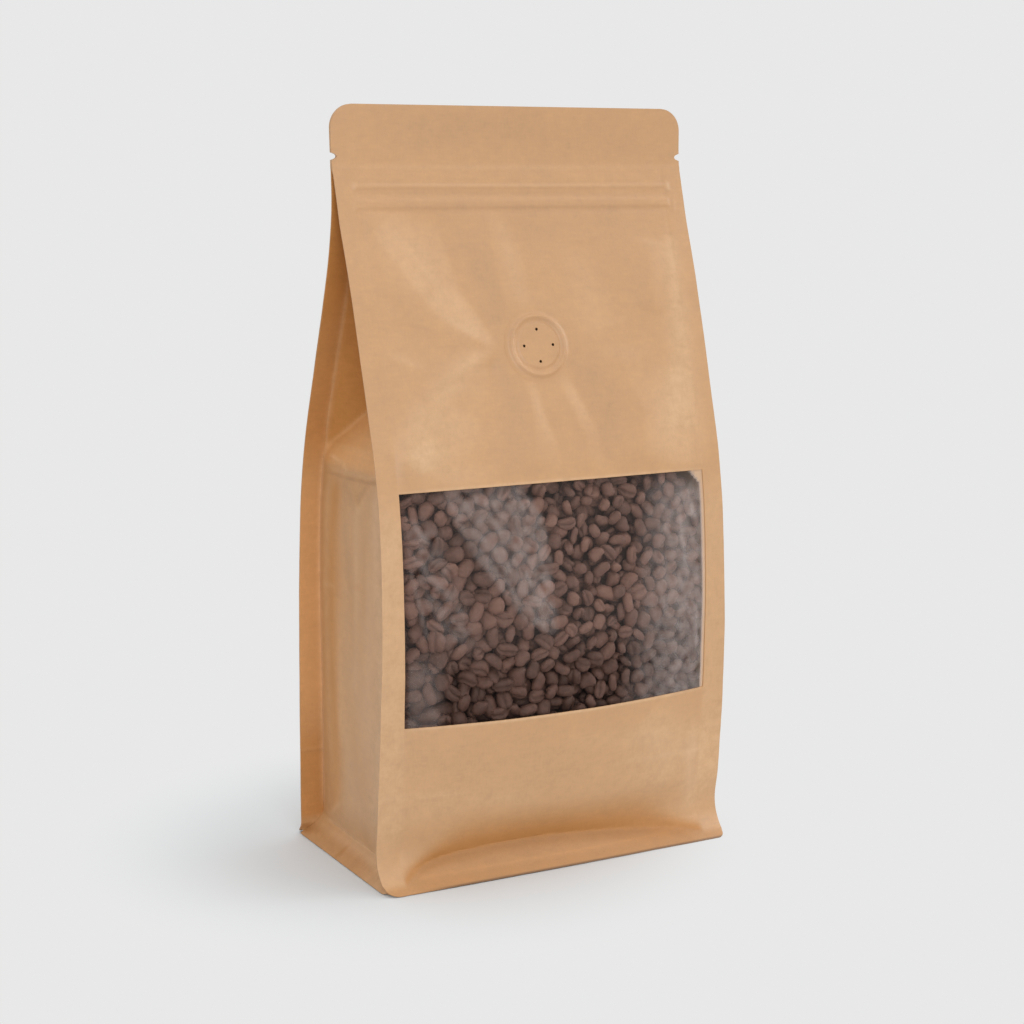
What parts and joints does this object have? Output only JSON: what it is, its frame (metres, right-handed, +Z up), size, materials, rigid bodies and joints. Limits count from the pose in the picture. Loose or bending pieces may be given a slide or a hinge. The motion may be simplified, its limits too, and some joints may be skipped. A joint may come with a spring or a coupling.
{
  "type": "coffee bag",
  "caption": "Stand-up flat-bottom kraft coffee pouch with sealed fins, folded gussets, flat header, clear window over roasted beans and a degassing valve.",
  "frame": {"origin": "middle of the flat base, on the surface the pouch stands on", "axes": "+Z up along the pouch's height, +X along its width to the right seen from the front, -Y out of the front panel that holds the window"},
  "size_m": [0.1358, 0.0827, 0.26],
  "materials": {
    "kraft_laminate": "satin",
    "valve_laminate": "satin",
    "clear_film": "gloss",
    "roasted_coffee": "matte"
  },
  "bodies": {
    "root": {"pouch": "kraft_laminate", "window_film": "clear_film", "coffee_beans": "roasted_coffee", "valve": "valve_laminate"}
  },
  "joints": []
}
